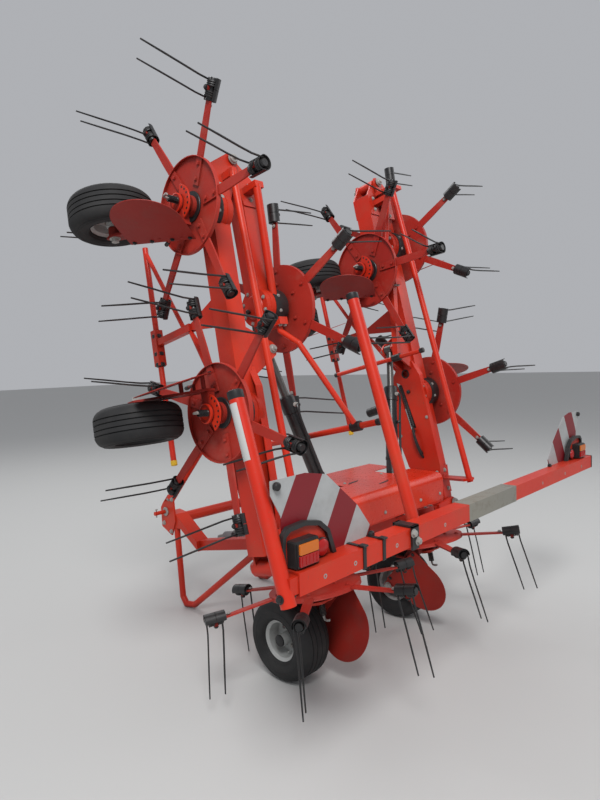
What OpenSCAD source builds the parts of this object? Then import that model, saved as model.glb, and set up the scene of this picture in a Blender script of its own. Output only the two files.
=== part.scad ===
// Eight-rotor hay tedder for a three-point linkage, folded for the road and parked.
// X points to the machine's right, Y forward, Z up; the origin is on the ground under the middle
// of the parked machine. Rotors and wings are laid out flat, as in work, in a frame that is
// tipped forward by rake, and are then folded up about their hinges.

/* [Layout] */
// Distance between neighbouring rotor axes
rotor_pitch = 1087.5; // [1060:2.5:1120]
// Gap between a centre tyre and the plane of its rotor's dish, above the axle
dish_gap = 72; // [60:1:90]
// Distance that the centre rotors' axes stand behind the machine's middle
set_back = 449; // [441:1:457]
// Forward tilt of rotors and wings
rake = 12; // [10:1:13]
// Distance from the middle of the machine to a wing's hinge pin
hinge_x = 830; // [820:5:850]
// Height of a wing's hinge pin above the rotor dishes
hinge_h = 158; // [150:2:170]
// How far a wing is folded up from level
wing_fold = 92; // [91:0.2:93]
// Distance from the third rotor to the outer hinge, left wing
outer_hinge_left = 285; // [270:5:300]
// Distance from the third rotor to the outer hinge, right wing
outer_hinge_right = 442; // [430:2:450]
// Height of the outer hinge above the dishes, left wing
outer_hinge_h_left = 240; // [236:1:244]
// Height of the outer hinge above the dishes, right wing
outer_hinge_h_right = 195; // [192:1:198]
// How far an outer section is folded back from straight
outer_fold = 178; // [177:0.2:179]

/* [Rotors] */
// Radius of a rotor's dish
dish_r = 250; // [235:5:260]
// Thickness of the dish
dish_t = 5; // [4:0.5:8]
// Depth of the dish's turned rim
dish_lip = 20; // [10:1:30]
// Number of tine arms on a rotor
arm_count = 6; // [6:1:6]
// Downward slope of the dish and of the arms
arm_droop = 4.5; // [3:0.5:5]
// Width of an arm
arm_w = 48; // [40:1:56]
// Thickness of an arm
arm_t = 10; // [8:1:12]
// Radius at which an arm meets its tine holder
arm_r = 505; // [500:1:512]
// Radius of a tine holder's cap
cap_r = 36; // [32:1:40]
// Length of a tine holder's cap
cap_len = 104; // [100:1:110]
// Diameter of the tine wire
wire_d = 9.5; // [8:0.5:11]
// Radius of a tine's coil
coil_r = 26; // [22:1:30]
// Drop of a tine from its coil to its tip
tine_drop = 380; // [360:5:390]
// How far a tine's tip leads its coil
tine_lead = 30; // [20:5:35]
// How far a tine's tip stands out from its coil
tine_splay = 42; // [30:2:50]
// Radius of the fixed spindle that a rotor turns on
spindle_r = 30; // [26:1:34]
// Running clearance of every bearing
running_fit = 0.05; // [0.03:0.01:0.08]

/* [Wheels] */
// Radius of a centre tyre
centre_tyre_r = 228.5; // [222:0.5:232]
// Width of a centre tyre
centre_tyre_w = 213; // [200:1:218]
// Radius of a wing tyre
wing_tyre_r = 215; // [205:1:218]
// Width of a wing tyre
wing_tyre_w = 180; // [165:1:184]
// Radius of the rim that a tyre sits on
rim_r = 101; // [98:1:104]
// Distance of a wheel's axle ahead of its rotor's axis
wheel_fwd = 270; // [255:5:275]
// Height of an unfolded wing tyre above the ground
wing_tyre_lift = 6; // [5:1:12]
// Radius of an axle
axle_r = 15; // [13:1:17]

/* [Frame] */
// Width of the beams, fore and aft
beam_w = 120; // [110:2:130]
// Depth of the beams
beam_d = 110; // [100:2:116]
// Height of the beams' middle line above the dishes
beam_h = 130; // [126:1:134]
// Radius of the hinge pins
pin_r = 20; // [18:1:24]
// Distance of the linkage pins ahead of the centre rotors
hitch_y = 1600; // [1560:5:1640]
// Height of the lower linkage pins above the ground
hitch_z = 700; // [680:5:720]
// Span between the shoulders of the lower linkage pins
hitch_span = 825; // [810:5:840]
// Height of the top link's pin above the lower pins
mast_h = 610; // [600:5:640]
// Radius of a lower linkage pin
lower_pin_r = 14; // [13.5:0.5:15]
// Radius of the top link's bore
top_bore_r = 12.75; // [12.5:0.25:13]
// Length of the rear light bar
light_bar_len = 2928; // [2908:4:2936]
// How far the light bar reaches farther to the right than to the left
light_bar_shift = 34; // [32:1:36]
// Distance of the light bar behind the centre rotors
light_bar_y = 720; // [715:5:730]
// Height of the light bar above the ground
light_bar_z = 1020; // [1010:5:1040]
// Side of the light bar's square tube
light_bar_s = 80; // [70:2:90]

/* [Lift cylinders] */
// Distance of a cylinder's foot from the middle
lift_foot_x = 280; // [270:5:290]
// Height of a cylinder's foot above the dishes
lift_foot_h = 250; // [245:5:260]
// Distance of the rod's eye beyond the wing hinge
lift_eye_out = 1130; // [1110:5:1140]
// Height of the rod's eye above the wing hinge
lift_eye_up = 210; // [202:2:218]
// Radius of a cylinder's barrel
barrel_r = 40; // [36:1:44]
// Radius of a cylinder's rod
rod_r = 22; // [20:1:24]

/* [Hidden] */
$fn = 48;
SIDES = ["l", "r"];

paint = "orangered";
dark = "dimgray";
black = [0.08, 0.08, 0.08];
eps = 0.01;
seat = 1;
hub_r = 55;
gearcase_r = 105;
// Height of the middle of the centre rotors' dishes above the ground, in whole millimetres
dish_height = round(2 * centre_tyre_r + wheel_fwd * sin(rake) + dish_gap);
plate_t = 8;
leg_gap = 24;
leg_t = 12;
collar_r = 46;
collar_top = -44;
collar_h = 66;

// Place of a rotor's axis, counted outward from the middle
function rotor_x(i) = rotor_pitch * (i - 0.5);
function outer_hinge_x(side) = rotor_x(3) + (side == "l" ? outer_hinge_left : outer_hinge_right);
function outer_hinge_h(side) = side == "l" ? outer_hinge_h_left : outer_hinge_h_right;
// Angle of a rotor's first arm from straight outward; neighbours mesh half an arm apart
phase_in = 24;
function phase(side, i) = side == "l"
    ? (i % 2 == 1 ? phase_in : 30 - phase_in)
    : (i % 2 == 1 ? 30 + phase_in : 60 - phase_in);
// Seen from above on the right side, odd rotors turn anticlockwise
function turn(i) = i % 2 == 1 ? 1 : -1;
// Side of the wheel leg: toward the middle on odd rotors, outward on even ones
function leg_side(i) = i % 2 == 1 ? -1 : 1;
function tyre_r(i) = i == 1 ? centre_tyre_r : wing_tyre_r;
function tyre_w(i) = i == 1 ? centre_tyre_w : wing_tyre_w;
function tyre_lift(i) = i == 1 ? 0 : wing_tyre_lift;
// Drop of the axle below the dish, measured square to the dish, that sets the tyre on the ground
function axle_drop(i) =
    (dish_height - wheel_fwd * sin(rake) - tyre_r(i) - tyre_lift(i)) / cos(rake);
function leg_x(i) = leg_side(i) * (tyre_w(i) / 2 + leg_gap);
function mast_z() = hitch_z + mast_h;
// Level y and z of a point that is given in the tipped frame of the rotors
function level(y, z) = [y * cos(rake) + z * sin(rake), dish_height - y * sin(rake) + z * cos(rake)];

// A round bar between two points
module bar(a, b, r) {
    d = b - a;
    len = norm(d);
    translate(a) rotate([0, acos(d[2] / len), atan2(d[1], d[0])]) cylinder(r = r, h = len);
}

// A round bar along a list of points, with a ball at each bend
module bent_bar(pts, r) {
    for (k = [0 : len(pts) - 2]) bar(pts[k], pts[k + 1], r);
    for (k = [1 : len(pts) - 2]) translate(pts[k]) sphere(r = r + 0.2);
}

// A box beam between two points that share their x
module box_bar(a, b, w, h) {
    d = b - a;
    translate(a) rotate([atan2(d[2], norm([d[0], d[1]])), 0, atan2(-d[0], d[1])])
        translate([-w / 2, 0, -h / 2]) cube([w, norm(d), h]);
}

// A prism along x from x0 to x1 with its outline in y and z
module yz_prism(x0, x1, pts) translate([x0, 0, 0]) rotate([90, 0, 90]) linear_extrude(x1 - x0) polygon(pts);

module ring(r_out, r_in, h) {
    difference() {
        cylinder(r = r_out, h = h);
        translate([0, 0, -1]) cylinder(r = r_in, h = h + 2);
    }
}

// Sets what is measured from the centre rotors back from the machine's middle
module centred() translate([0, -set_back, 0]) children();

// The frame of the rotors: flat in work, tipped forward by rake
module raked() centred() translate([0, 0, dish_height]) rotate([-rake, 0, 0]) children();

// Turns what stands on the right side into its mirror image on the left
module on_side(side) mirror([side == "l" ? 1 : 0, 0, 0]) children();

// A wing that is folded up about its hinge
module inner_place(side) raked() on_side(side)
    translate([hinge_x, 0, hinge_h]) rotate([0, -wing_fold, 0])
        translate([-hinge_x, 0, -hinge_h]) children();

// An outer section that is folded back over its wing
module outer_place(side) inner_place(side)
    translate([outer_hinge_x(side), 0, outer_hinge_h(side)]) rotate([0, -outer_fold, 0])
        translate([-outer_hinge_x(side), 0, -outer_hinge_h(side)]) children();

// Puts its children at rotor i of a side, with the dish's middle as their origin
module at_rotor(side, i) {
    if (i == 1) raked() on_side(side) translate([rotor_x(1), 0, 0]) children();
    if (i == 2 || i == 3) inner_place(side) translate([rotor_x(i), 0, 0]) children();
    if (i == 4) outer_place(side) translate([rotor_x(4), 0, 0]) children();
}

module at_axle(side, i) at_rotor(side, i) translate([0, wheel_fwd, -axle_drop(i)]) children();

// Rotor: a conical dish with a turned rim, its hub and six flat arms
module dish_shape() {
    fall = tan(arm_droop);
    rotate_extrude() polygon([
        [hub_r - seat, 0], [dish_r, -(dish_r - hub_r) * fall],
        [dish_r, -(dish_r - hub_r) * fall - dish_lip],
        [dish_r - dish_t, -(dish_r - hub_r) * fall - dish_lip],
        [dish_r - dish_t, -(dish_r - hub_r) * fall - dish_t],
        [hub_r - seat, -dish_t]]);
}

module arm() {
    root_r = 110;
    len = (arm_r - root_r) / cos(arm_droop);
    rise = -dish_t + seat - (root_r - hub_r) * tan(arm_droop);
    translate([root_r, 0, rise]) rotate([0, arm_droop, 0])
        translate([0, 0, -arm_t]) linear_extrude(arm_t)
            polygon([[0, -arm_w / 2], [len * 0.6, -arm_w / 2], [len, -arm_w / 2 + 5],
                [len, arm_w / 2 - 5], [len * 0.6, arm_w / 2], [0, arm_w / 2]]);
}

module rotor(side, i) color(paint) at_rotor(side, i) difference() {
    union() {
        dish_shape();
        translate([0, 0, -38]) cylinder(r = hub_r, h = 62);
        for (k = [0 : arm_count - 1]) rotate([0, 0, phase(side, i) + k * 360 / arm_count]) arm();
    }
    translate([0, 0, -50]) cylinder(r = spindle_r + running_fit, h = 100);
}

// Tines: on each arm a cap over a double coil, with a tine from each of its ends
function cap_z() = -dish_t + seat - arm_t / 2 - (arm_r - hub_r) * tan(arm_droop);

module tine(i, r0) {
    lead = turn(i);
    bent_bar([[r0, lead * (coil_r - wire_d), cap_z()],
        [r0 + 4, lead * (coil_r - 4), cap_z() - 70],
        [r0 + tine_splay, lead * (coil_r - wire_d + tine_lead), cap_z() - tine_drop]],
        wire_d / 2, $fn = 14);
}

module tine_set(i) {
    end_gap = 12;
    translate([arm_r + eps, 0, cap_z()]) rotate([0, 90, 0]) cylinder(r = cap_r, h = cap_len, $fn = 32);
    tine(i, arm_r + end_gap);
    tine(i, arm_r + cap_len - end_gap);
}

module tines(side, i) color(black) at_rotor(side, i)
    for (k = [0 : arm_count - 1])
        rotate([0, 0, phase(side, i) + k * 360 / arm_count]) tine_set(i);

// Wheels: the axle lies along x, and the tyre's beads sit inside the rim's flanges
flange_h = 12;
function rim_w(i) = tyre_w(i) - 50;
module tyre(side, i) color(black) at_axle(side, i) rotate([0, 90, 0]) {
    r = tyre_r(i);
    w = tyre_w(i) / 2;
    bead = rim_w(i) / 2;
    rotate_extrude() polygon([
        [rim_r + 0.05, -bead + 14.1], [rim_r + flange_h + 0.3, -bead + 3.85],
        [rim_r + flange_h + 2, -bead - 6], [rim_r + 26, -w + 9], [rim_r + 60, -w],
        [r - 38, -w + 6], [r - 6, -w + 30], [r, -w + 46],
        [r, w - 46], [r - 6, w - 30], [r - 38, w - 6],
        [rim_r + 60, w], [rim_r + 26, w - 9], [rim_r + flange_h + 2, bead + 6],
        [rim_r + flange_h + 0.3, bead - 3.85], [rim_r + 0.05, bead - 14.1]]);
}

module rim(side, i) color("lightgray") at_axle(side, i) rotate([0, 90, 0]) {
    w = rim_w(i);
    sheet = 4;
    disc_z = 12;
    hub_w = w - 10;
    difference() {
        union() {
            rotate_extrude() polygon([
                [rim_r + flange_h, -w / 2], [rim_r + flange_h, -w / 2 + sheet], [rim_r, -w / 2 + 14],
                [rim_r, w / 2 - 14], [rim_r + flange_h, w / 2 - sheet], [rim_r + flange_h, w / 2],
                [rim_r - sheet, w / 2 - 12], [rim_r - sheet, -w / 2 + 12]]);
            translate([0, 0, -disc_z]) cylinder(r = rim_r - sheet + seat, h = 6);
            translate([0, 0, -hub_w / 2]) cylinder(r = 34, h = hub_w);
        }
        translate([0, 0, -w]) cylinder(r = axle_r + running_fit, h = 2 * w);
        for (k = [0 : 3]) rotate([0, 0, 45 + 90 * k]) translate([64, 0, -disc_z - 1])
            cylinder(r = 12, h = 8);
    }
}

// Wheel leg: a collar on the spindle, a cross bar, a flat leg to the axle and a plate that
// keeps hay off the wheel
module leg(i) {
    x = leg_x(i);
    s = leg_side(i);
    drop = axle_drop(i);
    mid_z = collar_top - collar_h / 2;
    difference() {
        union() {
            translate([0, 0, collar_top - collar_h]) cylinder(r = collar_r, h = collar_h);
            translate([min(0, x), -28, mid_z - 20]) cube([abs(x), 56, 40]);
            translate([x - leg_t / 2, 0, 0]) rotate([90, 0, 90]) linear_extrude(leg_t)
                polygon([[-32, mid_z + 24], [34, mid_z + 24], [wheel_fwd + 30, -drop + 16],
                    [wheel_fwd + 30, -drop - 30], [wheel_fwd - 26, -drop - 30], [-32, mid_z - 30]]);
        }
        translate([0, 0, collar_top - collar_h - 1]) cylinder(r = spindle_r, h = collar_h + 2);
    }
    translate([x, wheel_fwd, -drop]) rotate([0, -90 * s, 0]) {
        cylinder(r = axle_r, h = leg_gap + tyre_w(i) - 22);
        cylinder(r = 28, h = leg_gap + 24);
    }
    wheel_plate(x, s);
    // the lever that sets the height of the wheel
    bent_bar([[x, 60, mid_z - 33], [x + s * 40, 64, mid_z - 31], [x + s * 44, 130, mid_z - 15]], 8, $fn = 12);
}

// Plate that keeps hay off the wheel: straight along the leg and round at its far end, leaning in
// under the rotor and held off the leg by two spacers
plate_lean = 14.04;
plate_off = 96;
module wheel_plate(x, s) {
    edge = [-0.824, 0.566];
    away = [-0.566, -0.824];
    mid = [95, -150];
    half_w = 176;
    face = abs(x) + plate_off;
    translate([s * face, 0, -12]) rotate([0, s * plate_lean, 0]) translate([0, 0, 12])
        translate([-1.5, 0, 0]) rotate([90, 0, 90]) linear_extrude(3) union() {
            polygon([mid + half_w * edge, mid + half_w * edge + 184 * away,
                mid - half_w * edge + 184 * away, mid - half_w * edge]);
            translate(mid + 184 * away) circle(r = half_w, $fn = 64);
        }
    for (p = [[87, -168], [-8, -102]]) {
        reach = face + tan(plate_lean) * (p[1] + 12) + 2;
        translate([s * (abs(x) + leg_t / 2 - seat), p[0], p[1]]) rotate([0, s * 90, 0])
            cylinder(r = 11, h = reach - abs(x) - leg_t / 2 + seat);
    }
}

// Gearcase of a rotor, between two lengths of beam, with the spindle below it
module gearcase() {
    translate([0, 0, 26]) cylinder(r1 = 78, r2 = gearcase_r, h = 40);
    translate([0, 0, 66 - eps]) cylinder(r = gearcase_r, h = beam_h + beam_d / 2 - 66);
    translate([0, 0, beam_h + beam_d / 2 - eps]) cylinder(r1 = 70, r2 = 56, h = 18);
    translate([0, 0, collar_top - collar_h]) cylinder(r = spindle_r, h = 26 - collar_top + collar_h + 2);
}

module beam(x0, x1) translate([x0, -beam_w / 2, beam_h - beam_d / 2]) cube([x1 - x0, beam_w, beam_d]);

// A plate in the xz plane with its middle at y
module xz_plate(y, t, pts) translate([0, y + t / 2, 0]) rotate([90, 0, 0]) linear_extrude(t) polygon(pts);

ear_t = 20;
ear_y = 96;
boss_r = 44;
boss_len = 2 * (ear_y - ear_t / 2) - 1;
beam_end = 70;
function lift_eye_x() = hinge_x + lift_eye_out;
function lift_eye_h() = hinge_h + lift_eye_up;

// Main frame: centre beam, gearcases, gearbox, hinge ears and the arms that carry headstock and bar
module main_frame() color(paint) {
    raked() {
        difference() {
            union() {
                beam(-hinge_x + beam_end + 10, hinge_x - beam_end - 10);
                for (side = SIDES) on_side(side) {
                    translate([rotor_x(1), 0, 0]) gearcase();
                    for (s = [-1, 1]) {
                        xz_plate(s * ear_y, ear_t, [[hinge_x - 190, beam_h - 50],
                            [hinge_x + 20, hinge_h - boss_r], [hinge_x + 40, hinge_h - 20],
                            [hinge_x + 40, hinge_h + 20], [hinge_x, hinge_h + boss_r],
                            [hinge_x - 190, beam_h + 50]]);
                        translate([hinge_x - 190, s * (beam_w / 2 + (ear_y - ear_t / 2 - beam_w / 2) / 2),
                            beam_h]) cube([60, ear_y - ear_t / 2 - beam_w / 2 + 4, 80], center = true);
                        // ears of the lift cylinder's foot
                        xz_plate(s * 34, 12, [[lift_foot_x - 60, beam_h + beam_d / 2 - seat],
                            [lift_foot_x - 26, lift_foot_h + 26], [lift_foot_x + 24, lift_foot_h + 26],
                            [lift_foot_x + 40, beam_h + beam_d / 2 - seat]]);
                    }
                    translate([hinge_x, ear_y + ear_t / 2 + 8, hinge_h]) rotate([90, 0, 0])
                        cylinder(r = pin_r, h = 2 * ear_y + ear_t + 16);
                    translate([lift_foot_x, 44, lift_foot_h]) rotate([90, 0, 0])
                        cylinder(r = 16, h = 88);
                    // arm to the headstock, and arm to the light bar
                    translate([front_arm_x - 40, beam_w / 2 - seat, beam_h + 10])
                        cube([80, front_arm_len, 70]);
                }
                translate([-130, -110, beam_h - beam_d / 2 - 20]) cube([260, 250, beam_d + 70]);
            }
        }
    }
    centred() for (side = SIDES) on_side(side) {
        front = -light_bar_y + light_bar_s / 2;
        yz_prism(bar_arm_x - 30, bar_arm_x + 30, [[-20, dish_height + 80], [-20, dish_height + 145],
            [front, light_bar_z + 24], [front, light_bar_z - 36]]);
        // post under the hood
        translate([160, 50, dish_height + 145]) cube([40, 40, hood_top - hood_sheet - dish_height - 145]);
    }
}
front_arm_x = 330;
boom_run = 420;
front_arm_len = hitch_y - boom_run;
bar_arm_x = 420;

// Hood: a level sheet cover over the centre gearbox, with a rounded rear edge
hood_x = 440;
hood_back = -215;
hood_front = 360;
hood_top = dish_height + 465;
hood_low = hood_top - 170;
hood_front_low = hood_top - 260;
hood_r = 45;
hood_sheet = 3;
hood_slot_x = lift_foot_x - 45;
module hood_outline(in) {
    r = hood_r - in;
    translate([hood_back + hood_r, hood_top - hood_r]) circle(r = r, $fn = 64);
    translate([hood_back + in, hood_low - in]) square([2 * r, hood_top - hood_r - hood_low + in]);
    translate([hood_back + hood_r, hood_front_low - in])
        square([hood_front - hood_back - hood_r - in, hood_top - hood_front_low]);
}
module hood() color(paint) centred() difference() {
    translate([-hood_x, 0, 0]) rotate([90, 0, 90]) linear_extrude(2 * hood_x) difference() {
        hood_outline(0);
        hood_outline(hood_sheet);
        translate([hood_back + hood_sheet, hood_front_low - 1])
            square([hood_front - hood_back - 2 * hood_sheet, hood_low + 2 - hood_front_low]);
    }
    // slots for the lift cylinders, open to the sides
    for (s = [-1, 1]) translate([s * (hood_x + hood_slot_x) / 2 - (hood_x - hood_slot_x) / 2 - 1, 30, hood_top - 20])
        cube([hood_x - hood_slot_x + 2, 140, 40]);
}

// Headstock: two lower link brackets, an A-shaped mast and a cross tube
module headstock() color(paint) centred() {
    half = hitch_span / 2;
    arm_end = front_arm_len + beam_w / 2 - seat;
    boom_low = hitch_z - 110;
    for (side = SIDES) on_side(side) {
        difference() {
            translate([half - 12, hitch_y, hitch_z]) rotate([90, 0, 90]) linear_extrude(12)
                polygon([[-60, -170], [60, -120], [70, 20], [40, 60], [-30, 130], [-90, 130], [-110, -60]]);
            translate([half - 20, hitch_y, hitch_z + 80]) rotate([0, 90, 0]) cylinder(r = 9, h = 40);
        }
        translate([half - 12, hitch_y, hitch_z]) rotate([0, 90, 0]) cylinder(r = lower_pin_r, h = 110);
        bar([half - 6, hitch_y - 50, hitch_z + 90], [38, hitch_y - 120, mast_z() - 30], 30);
        yz_prism(front_arm_x - 30, half - 12 + seat, [level(arm_end, beam_h + 10), level(arm_end, beam_h + 80),
            [hitch_y - 100, hitch_z - 10], [hitch_y - 10, hitch_z], [hitch_y, boom_low],
            [hitch_y - 160, boom_low]]);
        difference() {
            translate([30, hitch_y, mast_z()]) rotate([90, 0, 90]) linear_extrude(12)
                polygon([[-170, -110], [-90, -110], [34, -20], [34, 26], [-20, 34], [-150, 20]]);
            translate([20, hitch_y, mast_z()]) rotate([0, 90, 0]) cylinder(r = top_bore_r, h = 40);
        }
    }
    translate([-half + 11, hitch_y - 50, hitch_z - 60]) rotate([0, 90, 0])
        cylinder(r = 38, h = 2 * half - 22);
    translate([-31, hitch_y - 158, mast_z() - 70]) cube([62, 60, 60]);
}

// Parking stand: on each side a bent tube from the headstock to the ground and back up to the frame
stand_r = 22;
stand_y = 690;
module parking_stand() color(paint) {
    x0 = hitch_span / 2 - 12 - stand_r - 0.05;
    y0 = hitch_y - 84;
    lug_h = 45;
    end = level(stand_y, beam_h + 10 - lug_h + 20);
    for (side = SIDES) on_side(side) {
        centred() bent_bar([[x0, y0, hitch_z - 110], [x0, y0, hitch_z - 160], [x0 - 8, y0 - 24, stand_r + 50],
            [x0 - 12, y0 - 60, stand_r], [x0 - 20, y0 - 150, stand_r + 14],
            [front_arm_x, end[0], end[1]]], stand_r);
        raked() translate([front_arm_x - 36, stand_y - 50, beam_h + 10 - lug_h - 0.05]) cube([72, 100, lug_h]);
    }
}

// Input shaft: a splined stub at the headstock and the tube that runs back to the gearbox
shaft_h = 218;
module input_shaft() color(dark) raked() translate([0, 0, shaft_h - 60]) {
    start = 140;
    rotate([-90, 0, 0]) {
        translate([0, 0, start]) cylinder(r = 34, h = 90);
        translate([0, 0, start + 90 - eps]) cylinder(r = 24, h = 1080);
        translate([0, 0, start + 1170 - 2 * eps]) cylinder(r = 40, h = 110);
        translate([0, 0, start + 1280 - 3 * eps]) cylinder(r = 17.5, h = 90);
    }
}

// Light bar: a square tube across the rear. On the left one guard tube stands at its end and
// a second, taller one farther in.
tube_r = 28;
inner_tube_in = 840;
bar_end = light_bar_len / 2 - light_bar_shift;
module light_bar() color(paint) centred() {
    s = light_bar_s;
    front = -light_bar_y + s / 2;
    end_x = -bar_end - s / 2;
    inner_x = -bar_end + inner_tube_in;
    translate([-bar_end, -light_bar_y - s / 2, light_bar_z - s / 2]) cube([light_bar_len, s, s]);
    translate([end_x, front - 75, light_bar_z - 30]) cube([s / 2 + 10, 55, 60]);
    bar([end_x, -light_bar_y - 25, light_bar_z - 67], [end_x, -light_bar_y + 210, light_bar_z + 648], tube_r);
    bar([inner_x, front + 4, light_bar_z - 20], [inner_x, front + 335, light_bar_z + 1060], tube_r);
}

// Warning panels: plates with a cut outline against the front of the bar
panel_t = 3;
module warning_panels() color("white") centred() for (side = SIDES) on_side(side)
    translate([bar_end, -light_bar_y + light_bar_s / 2 + panel_t, light_bar_z]) rotate([90, 0, 0])
        linear_extrude(panel_t) polygon([[-470, 14], [-500, 80], [-420, 180], [-240, 330], [-130, 352],
            [45, 350], [45, 300], [0, 220], [0, 14]]);

// Rear lamps on top of the bar
module rear_lamps() color("darkred") centred() for (side = SIDES) on_side(side)
    translate([bar_end - 160, -light_bar_y - 25, light_bar_z + light_bar_s / 2]) cube([145, 55, 95]);

// Centre wheel legs
module centre_legs() color(paint) for (side = SIDES) at_rotor(side, 1) leg(1);

// Wing: beam, two gearcases, hinge bosses and the ears for the lift cylinder's eye
module wing_beam(side) color(paint) inner_place(side) {
    hx = outer_hinge_x(side);
    hh = outer_hinge_h(side);
    difference() {
        union() {
            beam(hinge_x + beam_end, hx - beam_end);
            for (i = [2, 3]) translate([rotor_x(i), 0, 0]) gearcase();
            for (s = [-1, 1]) xz_plate(s * (beam_w / 2 + 5), 12, [[hinge_x - 20, hinge_h - boss_r + 8],
                [hinge_x + 260, beam_h - beam_d / 2], [hinge_x + 260, beam_h + beam_d / 2],
                [hinge_x + 30, hinge_h + boss_r], [hinge_x - 20, hinge_h + boss_r - 8]]);
            translate([hinge_x, boss_len / 2, hinge_h]) rotate([90, 0, 0]) cylinder(r = boss_r, h = boss_len);
            // outer hinge ears
            for (s = [-1, 1]) xz_plate(s * 80, 16, [[hx - 260, beam_h - beam_d / 2], [hx - 60, beam_h - 50],
                [hx + 34, hh - 24], [hx + 34, hh + 24], [hx - 10, hh + 38], [hx - 260, beam_h + beam_d / 2]]);
            for (s = [-1, 1]) translate([hx - 200, s * (beam_w / 2 + 8), beam_h])
                cube([80, 28, 70], center = true);
            translate([hx, 96, hh]) rotate([90, 0, 0]) cylinder(r = pin_r, h = 192);
            // ears of the lift cylinder's eye
            for (s = [-1, 1]) xz_plate(s * 38, 14, [[lift_eye_x() - 170, beam_h + beam_d / 2 - seat],
                [lift_eye_x() - 34, lift_eye_h() + 20], [lift_eye_x() + 10, lift_eye_h() + 36],
                [lift_eye_x() + 36, lift_eye_h() + 10], [lift_eye_x() + 120, beam_h + beam_d / 2 - seat]]);
            // block and braces that carry the front guard
            translate([guard_block_x - 22, guard_block_y - 44, beam_h - 22]) cube([44, 44, 44]);
            for (h = [beam_h, beam_h - 70]) bar([rotor_x(2) + 70, 65, h],
                [guard_block_x - 6, guard_block_y - 22, beam_h - 3], 12);
            translate([0, 0, beam_h - 10]) linear_extrude(20) polygon([[guard_block_x - 70, beam_w / 2 - seat],
                [guard_block_x + 110, beam_w / 2 - seat], [guard_block_x + 14, guard_block_y - 30],
                [guard_block_x - 14, guard_block_y - 30]]);
            beam_cover();
        }
        translate([hinge_x, 200, hinge_h]) rotate([90, 0, 0]) cylinder(r = pin_r + running_fit, h = 400);
        translate([lift_eye_x(), 100, lift_eye_h()]) rotate([90, 0, 0]) cylinder(r = 17, h = 200);
    }
}

// Cover over the beam and the second rotor's gearcase, with a hole and a slot for the hoses
cover_top = 211;
module beam_cover() difference() {
    translate([0, 0, beam_h + 35]) linear_extrude(cover_top - beam_h - 35)
        polygon([[1020, -75], [1100, -95], [1750, -90], [1860, -50], [1860, 60], [1750, 150],
            [1350, 200], [1120, 160], [1020, 75]]);
    translate([0, 0, beam_h + 34]) linear_extrude(cover_top - beam_h - 34 - 6)
        polygon([[1026, -70], [1101, -89], [1749, -84], [1854, -46], [1854, 57], [1747, 144.5],
            [1350, 193.5], [1123, 154], [1026, 72]]);
    translate([1780, 20, cover_top - 10]) cylinder(r = 28, h = 20);
    translate([0, 0, cover_top - 10]) linear_extrude(20)
        polygon([[1735, 112], [1705, 68], [1390, 27], [1384, 74], [1410, 75]]);
}

module wing_legs(side) color(paint) for (i = [2, 3]) at_rotor(side, i) leg(i);

// Front guard: a straight tube ahead of the wing's tines, carried by an arm and a strut
guard_y = 690;
guard_block_x = 2172;
guard_block_y = 372;
module front_guard(side) color(paint) inner_place(side) {
    x = guard_block_x;
    bar([rotor_x(2) - 200, guard_y, beam_h], [rotor_x(3) + 60, guard_y, beam_h], 17);
    translate([x - 140, guard_y - 26, beam_h - 26]) cube([220, 52, 52]);
    translate([x - 20, guard_block_y, beam_h - 20]) cube([40, guard_y - 20 - guard_block_y, 40]);
    bar([rotor_x(3) + 30, guard_y, beam_h], [x + 4, guard_block_y + 28, beam_h], 13);
}

// Tie rod from the hinge to the outer section, above the beam and behind it
module tie_rod(side) color(paint) inner_place(side) {
    hx = outer_hinge_x(side);
    plate_face = -beam_w / 2 - 11;
    ear_face = -88;
    if (side == "l") {
        bar([990, -185, 232], [hx - 124, -160, 165], 19);
        yz_prism(976, 1016, [[plate_face, 150], [plate_face, 190], [-170, 244], [-200, 220], [-190, 204]]);
        translate([hx - 143.75, -175, 150]) cube([40, 175 + ear_face, 34]);
    } else {
        bar([989, -370, 343], [hx - 100, -225, 250], 19);
        yz_prism(1000, 1016, [[plate_face, 100], [plate_face, 185], [-340, 372], [-392, 368], [-392, 325]]);
        translate([hx - 110.75, -240, 150]) cube([25, 240 + ear_face, 108]);
    }
}

// Outer section: its hinge arm, beam and the last gearcase
module outer_beam(side) color(paint) outer_place(side) {
    hx = outer_hinge_x(side);
    hh = outer_hinge_h(side);
    difference() {
        union() {
            beam(hx + beam_end + 30, rotor_x(4) + 10);
            translate([rotor_x(4), 0, 0]) gearcase();
            for (s = [-1, 1]) xz_plate(s * (beam_w / 2 + 1), 12, [[hx - 20, hh - 34], [hx - 20, hh + 34],
                [hx + 24, hh + 34], [hx + 60, hh + 2], [hx + 240, beam_h + beam_d / 2],
                [hx + 240, beam_h - beam_d / 2], [hx + 100, beam_h - beam_d / 2]]);
            // stay from the hinge to the last gearcase, and the flange of the end guard
            translate([hx + 140, -175, 120]) cube([35, 175 - beam_w / 2, 60]);
            bar([hx + 157, -160, 158], [rotor_x(4) - 32, -75, 100], 22);
            translate([rotor_x(4) + 90, -140, 90]) cube([40, 200, 60]);
            translate([hx, 71, hh]) rotate([90, 0, 0]) cylinder(r = 34, h = 142);
        }
        translate([hx, 200, hh]) rotate([90, 0, 0]) cylinder(r = pin_r + running_fit, h = 400);
    }
}

module outer_leg(side) color(paint) at_rotor(side, 4) leg(4);

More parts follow.
